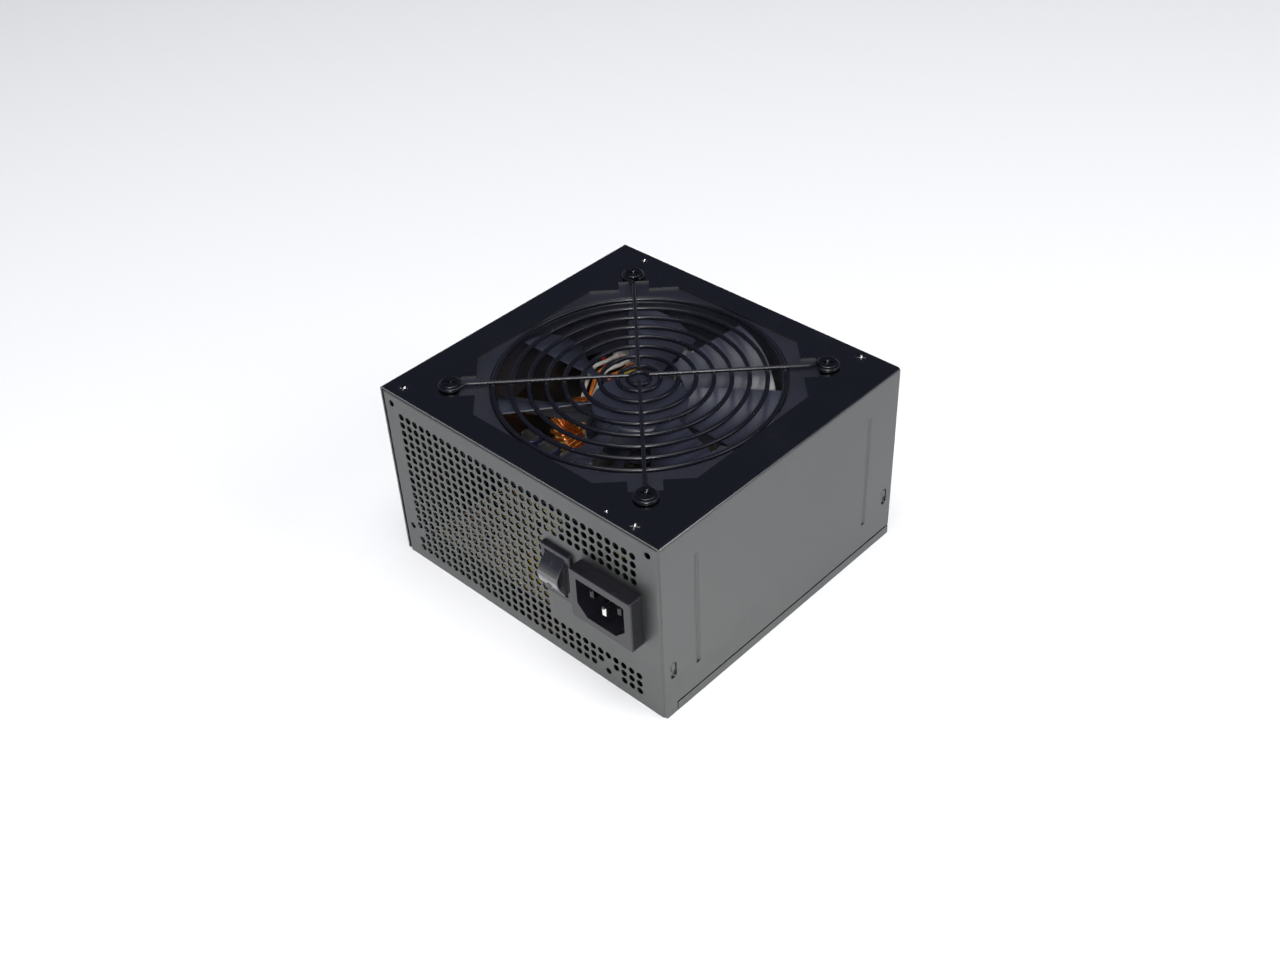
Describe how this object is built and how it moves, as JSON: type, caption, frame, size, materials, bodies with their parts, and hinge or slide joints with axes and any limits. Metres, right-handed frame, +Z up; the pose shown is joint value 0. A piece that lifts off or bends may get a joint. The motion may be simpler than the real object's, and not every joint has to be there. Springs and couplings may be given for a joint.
{
  "type": "computer power supply",
  "caption": "Box-shaped desktop computer power supply with a top fan under a wire guard, a perforated rear panel, a mains inlet and a rocker switch.",
  "frame": {"origin": "middle of the bottom face, as seen between the side panels and between the rear and front panels", "axes": "+Z up through the fan, -Y out of the rear panel with the mains inlet, +X towards the inlet's side"},
  "size_m": [0.15, 0.149, 0.0883],
  "materials": {
    "case_metal": "glossy dark nickel plating",
    "black_screw": "glossy black zinc",
    "guard_wire": "glossy black coating",
    "fan_plastic": "glossy black",
    "ferrite": "matt dark grey",
    "steel": "ground",
    "bronze": "sintered",
    "lamination": "rolled",
    "copper_wire": "enamelled",
    "circuit_board": "tan laminate",
    "black_plastic": "satin black",
    "rocker_plastic": "satin black",
    "nickel_plate": "bright plated",
    "clear_film": "translucent film",
    "heatsink": "extruded",
    "black_resin": "moulded",
    "yellow_tape": "polyester tape",
    "can_sleeve": "shrink sleeve",
    "yellow_core": "coated",
    "film_box": "moulded",
    "fuse_glass": "clear",
    "disc_ceramic": "dipped",
    "white_nylon": "moulded",
    "white_insulation": "insulated lead",
    "orange_insulation": "insulated lead",
    "yellow_insulation": "insulated lead",
    "red_insulation": "insulated lead",
    "black_insulation": "insulated lead",
    "brown_insulation": "insulated lead",
    "blue_insulation": "insulated lead",
    "green_insulation": "insulated lead"
  },
  "bodies": {
    "case": {"chassis_tray": "case_metal", "rear_panel": "case_metal", "top_cover": "case_metal", "cover_screws": "black_screw", "fan_screws": "black_screw", "fan_guard": "guard_wire", "fan_frame": "fan_plastic", "fan_bush": "bronze", "fan_stator": "lamination", "fan_coils": "copper_wire", "fan_motor_board": "circuit_board", "inlet_body": "black_plastic", "inlet_pins": "nickel_plate", "switch_housing": "black_plastic", "switch_terminals": "nickel_plate", "cable_grommet": "black_plastic", "main_board": "circuit_board", "board_standoffs": "nickel_plate", "board_screws": "nickel_plate", "insulating_sheet": "clear_film", "primary_heatsink": "heatsink", "secondary_heatsink": "heatsink", "primary_transistors": "black_resin", "secondary_rectifiers": "black_resin", "heatsink_screws": "nickel_plate", "transformer_cores": "ferrite", "transformer_windings": "yellow_tape", "transformer_bobbins": "black_resin", "bulk_capacitors": "can_sleeve", "output_capacitors": "can_sleeve", "output_choke_core": "yellow_core", "output_choke_winding": "copper_wire", "output_choke_base": "black_resin", "line_filter_core": "ferrite", "line_filter_windings": "copper_wire", "film_capacitors": "film_box", "fuse": "fuse_glass", "fuse_clips": "nickel_plate", "disc_parts": "disc_ceramic", "bridge_rectifier": "black_resin", "control_card": "circuit_board", "control_chips": "black_resin", "fan_control_card": "circuit_board", "lead_plugs": "white_nylon", "white_leads": "white_insulation", "orange_leads": "orange_insulation", "yellow_lead": "yellow_insulation", "red_leads": "red_insulation", "black_lead": "black_insulation", "brown_leads": "brown_insulation", "blue_lead": "blue_insulation", "earth_lead": "green_insulation", "earth_terminal": "nickel_plate"},
    "fan_rotor": {"fan_impeller": "fan_plastic", "fan_rotor_magnet": "ferrite", "fan_shaft": "steel", "fan_shaft_clip": "steel"},
    "rocker": {"switch_rocker": "rocker_plastic"}
  },
  "joints": [
    {"name": "fan_spin", "type": "hinge", "parent": "case", "child": "fan_rotor", "pos_m": [0, 0, 0.0727], "axis": [0, 0, 1], "continuous": true},
    {"name": "rocker_tilt", "type": "hinge", "parent": "case", "child": "rocker", "pos_m": [0.0223, -0.067, 0.045], "axis": [1, 0, 0], "range_deg": [0, 18]}
  ]
}
